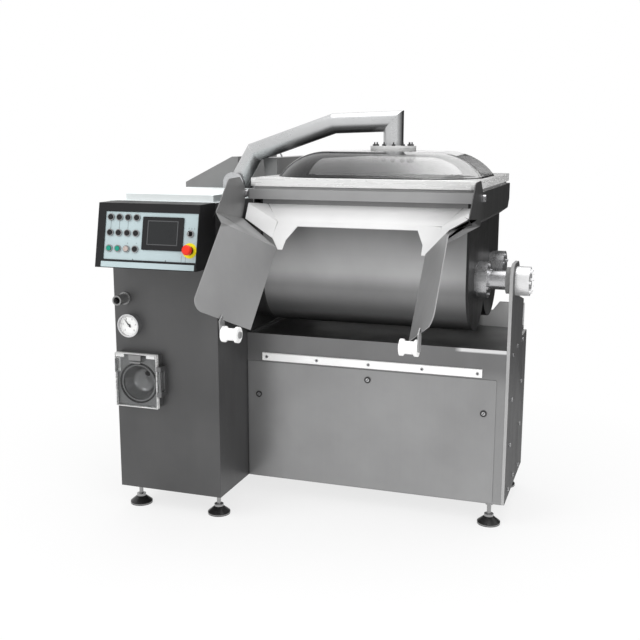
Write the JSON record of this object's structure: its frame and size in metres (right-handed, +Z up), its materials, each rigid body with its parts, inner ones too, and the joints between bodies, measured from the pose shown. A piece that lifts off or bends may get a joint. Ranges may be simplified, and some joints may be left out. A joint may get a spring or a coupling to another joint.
{
  "type": "vacuum meat mixer",
  "caption": "Twin-shaft vacuum paddle mixer: tilting W-trough with chute wings under a clear domed lid on a swinging pipe arm, beside a control cabinet.",
  "frame": {"origin": "on the floor, under the middle of the bounding box", "axes": "+Z up, +X from the control cabinet along the mixing shafts to the bearing pillar, -Y the working side where the tank empties"},
  "size_m": [1.704, 1.6537, 1.7349],
  "materials": {
    "stainless": "ground stainless sheet",
    "dark_stainless": null,
    "polished_stainless": "fine ground stainless",
    "clear_plastic": "clear acrylic",
    "rubber": "black rubber",
    "white_plastic": "white polyethylene",
    "black_plastic": "black plastic",
    "red_plastic": "red plastic",
    "green_plastic": "green plastic",
    "clear_lens": "clear lens",
    "painted_metal": "grey-blue enamel"
  },
  "bodies": {
    "frame": {"base_cabinet": "stainless", "access_panel": "stainless", "panel_locks": "stainless", "side_plate": "stainless", "cover_screws": "stainless", "bumper_strip": "white_plastic", "levelling_feet": "stainless", "control_cabinet": "dark_stainless", "console_housing": "dark_stainless", "console_panel": "stainless", "button_bezels": "polished_stainless", "touch_screen": "black_plastic", "gauge_case": "stainless", "vacuum_port": "stainless", "filter_body": "stainless", "filter_ring": "rubber", "roof_hoods": "dark_stainless", "hose_loop": "rubber", "trunnion_cap": "stainless", "trunnion_bearing_left": "stainless", "tilt_gearbox": "painted_metal", "mixing_gearmotor": "painted_metal", "vacuum_pump": "painted_metal", "lid_pivot": "stainless"},
    "lid": {"lid_arm": "polished_stainless", "lid_inner_ring": "black_plastic", "lid_dome": "clear_plastic", "lid_seal": "rubber", "lid_bolts": "stainless"},
    "tank": {"tank_trough": "stainless", "tank_ends": "stainless", "tank_rim": "stainless", "discharge_lip": "stainless", "pivot_bolts": "stainless", "bearing_housings": "stainless", "gear_case": "stainless"},
    "front_mixer": {"front_shaft": "stainless", "front_paddles": "stainless"},
    "rear_mixer": {"rear_shaft": "stainless", "rear_paddles": "stainless"},
    "chute_left": {"wing_left": "stainless"},
    "chute_right": {"wing_right": "stainless"},
    "wheel_left": {"roller_left": "white_plastic"},
    "wheel_right": {"roller_right": "white_plastic"},
    "door": {"filter_door": "clear_plastic"},
    "stop": {"stop_button": "red_plastic"},
    "key": {"key_switch": "black_plastic"},
    "needle": {"gauge_needle": "black_plastic"},
    "button_aa": {"button_aa": "black_plastic"},
    "button_ab": {"button_ab": "black_plastic"},
    "button_ac": {"button_ac": "black_plastic"},
    "button_ad": {"button_ad": "black_plastic"},
    "button_ba": {"button_ba": "black_plastic"},
    "button_bb": {"button_bb": "black_plastic"},
    "button_bc": {"button_bc": "black_plastic"},
    "button_bd": {"button_bd": "black_plastic"},
    "button_ca": {"button_ca": "green_plastic"},
    "button_cb": {"button_cb": "green_plastic"},
    "button_cc": {"button_cc": "clear_lens"},
    "button_cd": {"button_cd": "black_plastic"}
  },
  "joints": [
    {"name": "lid_swing", "type": "hinge", "parent": "frame", "child": "lid", "pos_m": [-0.54, 0.24686, 1.412], "axis": [0, -1, 0], "range_deg": [0, 100]},
    {"name": "tank_tilt", "type": "hinge", "parent": "frame", "child": "tank", "pos_m": [0.186, 0.03686, 1.042], "axis": [1, 0, 0], "range_deg": [0, 36]},
    {"name": "front_mixer_spin", "type": "hinge", "parent": "tank", "child": "front_mixer", "pos_m": [0.186, 0.03686, 1.042], "axis": [1, 0, 0], "continuous": true},
    {"name": "rear_mixer_spin", "type": "hinge", "parent": "tank", "child": "rear_mixer", "pos_m": [0.186, 0.39686, 1.042], "axis": [1, 0, 0], "continuous": true},
    {"name": "chute_left_swing", "type": "hinge", "parent": "tank", "child": "chute_left", "pos_m": [-0.306, -0.22114, 1.392], "axis": [-1, 0, 0], "range_deg": [0, 40]},
    {"name": "chute_right_swing", "type": "hinge", "parent": "tank", "child": "chute_right", "pos_m": [0.678, -0.22114, 1.392], "axis": [-1, 0, 0], "range_deg": [0, 40]},
    {"name": "wheel_left_spin", "type": "hinge", "parent": "chute_left", "child": "wheel_left", "pos_m": [-0.151, -0.73314, 0.905], "axis": [1, 0, 0], "continuous": true},
    {"name": "wheel_right_spin", "type": "hinge", "parent": "chute_right", "child": "wheel_right", "pos_m": [0.523, -0.73314, 0.905], "axis": [1, 0, 0], "continuous": true},
    {"name": "door_swing", "type": "hinge", "parent": "frame", "child": "door", "pos_m": [-0.621, -0.42544, 0.605], "axis": [0, 0, 1], "range_deg": [0, 110]},
    {"name": "needle_turn", "type": "hinge", "parent": "frame", "child": "needle", "pos_m": [-0.769, -0.40814, 0.836], "axis": [0, -1, 0], "range_deg": [0, 240]},
    {"name": "key_turn", "type": "hinge", "parent": "frame", "child": "key", "pos_m": [-0.404, -0.54075, 1.24896], "axis": [0, -0.9785, 0.2062], "range_deg": [0, 60]},
    {"name": "stop_press", "type": "slide", "parent": "frame", "child": "stop", "axis": [0, 0.9785, -0.2062], "range_m": [0, 0.006], "stiffness_N_per_m": 900},
    {"name": "button_aa_press", "type": "slide", "parent": "frame", "child": "button_aa", "axis": [0, 0.9785, -0.2062], "range_m": [0, 0.003], "stiffness_N_per_m": 500},
    {"name": "button_ab_press", "type": "slide", "parent": "frame", "child": "button_ab", "axis": [0, 0.9785, -0.2062], "range_m": [0, 0.003], "stiffness_N_per_m": 500},
    {"name": "button_ac_press", "type": "slide", "parent": "frame", "child": "button_ac", "axis": [0, 0.9785, -0.2062], "range_m": [0, 0.003], "stiffness_N_per_m": 500},
    {"name": "button_ad_press", "type": "slide", "parent": "frame", "child": "button_ad", "axis": [0, 0.9785, -0.2062], "range_m": [0, 0.003], "stiffness_N_per_m": 500},
    {"name": "button_ba_press", "type": "slide", "parent": "frame", "child": "button_ba", "axis": [0, 0.9785, -0.2062], "range_m": [0, 0.003], "stiffness_N_per_m": 500},
    {"name": "button_bb_press", "type": "slide", "parent": "frame", "child": "button_bb", "axis": [0, 0.9785, -0.2062], "range_m": [0, 0.003], "stiffness_N_per_m": 500},
    {"name": "button_bc_press", "type": "slide", "parent": "frame", "child": "button_bc", "axis": [0, 0.9785, -0.2062], "range_m": [0, 0.003], "stiffness_N_per_m": 500},
    {"name": "button_bd_press", "type": "slide", "parent": "frame", "child": "button_bd", "axis": [0, 0.9785, -0.2062], "range_m": [0, 0.003], "stiffness_N_per_m": 500},
    {"name": "button_ca_press", "type": "slide", "parent": "frame", "child": "button_ca", "axis": [0, 0.9785, -0.2062], "range_m": [0, 0.003], "stiffness_N_per_m": 500},
    {"name": "button_cb_press", "type": "slide", "parent": "frame", "child": "button_cb", "axis": [0, 0.9785, -0.2062], "range_m": [0, 0.003], "stiffness_N_per_m": 500},
    {"name": "button_cc_press", "type": "slide", "parent": "frame", "child": "button_cc", "axis": [0, 0.9785, -0.2062], "range_m": [0, 0.003], "stiffness_N_per_m": 500},
    {"name": "button_cd_press", "type": "slide", "parent": "frame", "child": "button_cd", "axis": [0, 0.9785, -0.2062], "range_m": [0, 0.003], "stiffness_N_per_m": 500}
  ],
  "couplings": [
    {"joint": "tank_tilt", "follows": "lid_swing", "ratio": 0.36},
    {"joint": "rear_mixer_spin", "follows": "front_mixer_spin", "ratio": -1}
  ]
}
